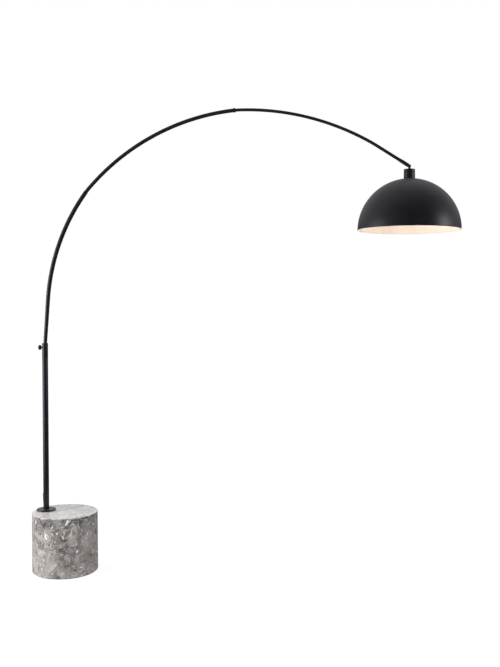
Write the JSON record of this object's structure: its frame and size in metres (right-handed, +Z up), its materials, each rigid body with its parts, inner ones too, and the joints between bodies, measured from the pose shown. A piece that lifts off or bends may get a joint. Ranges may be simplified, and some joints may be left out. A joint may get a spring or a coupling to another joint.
{
  "type": "arc floor lamp",
  "caption": "Arc floor lamp: polished stone drum base, offset pole with clamp collar, three-part curved arm that turns and slides, and a tilting metal dome shade with a bulb.",
  "frame": {"origin": "centre of the underside of the pad under the stone drum, on the floor", "axes": "+Z up; the arm reaches out along +X in the plane Y = 0, and the pole stands on the drum's -X side"},
  "size_m": [1.8072, 0.396, 1.952],
  "materials": {
    "black_paint": "satin",
    "black_alu": "satin powder coat",
    "marble": "polished, veined grey-brown marble",
    "felt": "matt felt",
    "zinc": "zinc plated",
    "nylon": "matt",
    "brass": "bright",
    "opal_glass": "opal, lit",
    "ceramic": "glazed",
    "cord_sleeve": "matt"
  },
  "bodies": {
    "root": {"marble_base": "marble", "base_pad": "felt", "anchor_rod": "zinc", "anchor_washer": "zinc", "anchor_nut": "zinc", "foot_flange": "black_paint", "pole_foot_plug": "zinc", "pole_tube": "black_paint", "cord_outlet": "nylon", "pole_lead": "cord_sleeve", "clamp_collar": "black_paint", "clamp_insert": "black_paint"},
    "swivel_bush": {"guide_bush": "nylon"},
    "arm": {"lower_arc_tube": "black_paint", "middle_arc_tube": "black_paint", "upper_arc_tube": "black_paint", "stem_glide": "nylon", "joint_ring": "black_paint", "joint_screw_1": "zinc", "joint_screw_2": "zinc", "arm_lead": "cord_sleeve", "end_ferrule": "black_paint", "ferrule_screw": "zinc", "tilt_screw": "black_paint", "tilt_nut": "black_paint"},
    "clamp_pad": {"pressure_pad": "nylon"},
    "clamp_knob": {"clamp_screw": "black_paint", "clamp_knob": "black_paint"},
    "shade": {"swivel_stem": "black_paint", "holder_cup": "black_paint", "cup_nut": "zinc", "lampholder": "ceramic", "thread_shell": "brass", "centre_contact": "brass", "holder_lead": "cord_sleeve", "shade_dome": "black_alu", "shade_ring": "black_paint", "bulb_glass": "opal_glass", "bulb_cap": "brass", "bulb_tip": "zinc"}
  },
  "joints": [
    {"name": "arm_swivel", "type": "hinge", "parent": "root", "child": "swivel_bush", "pos_m": [-0.09, 0, 0.9552], "axis": [0, 0, 1], "range_deg": [-170, 170]},
    {"name": "arm_height", "type": "slide", "parent": "swivel_bush", "child": "arm", "axis": [0, 0, 1], "range_m": [0, 0.2]},
    {"name": "pad_travel", "type": "slide", "parent": "root", "child": "clamp_pad", "axis": [-1, 0, 0], "range_m": [0, 0.002]},
    {"name": "knob_turn", "type": "hinge", "parent": "clamp_pad", "child": "clamp_knob", "pos_m": [-0.09, 0, 0.9687], "axis": [-1, 0, 0], "range_deg": [0, 720]},
    {"name": "shade_tilt", "type": "hinge", "parent": "arm", "child": "shade", "pos_m": [1.4692, 0, 1.6887], "axis": [0, 1, 0], "range_deg": [-40, 40]}
  ],
  "couplings": [
    {"joint": "knob_turn", "follows": "pad_travel", "rad_per_m": 6283.2}
  ]
}
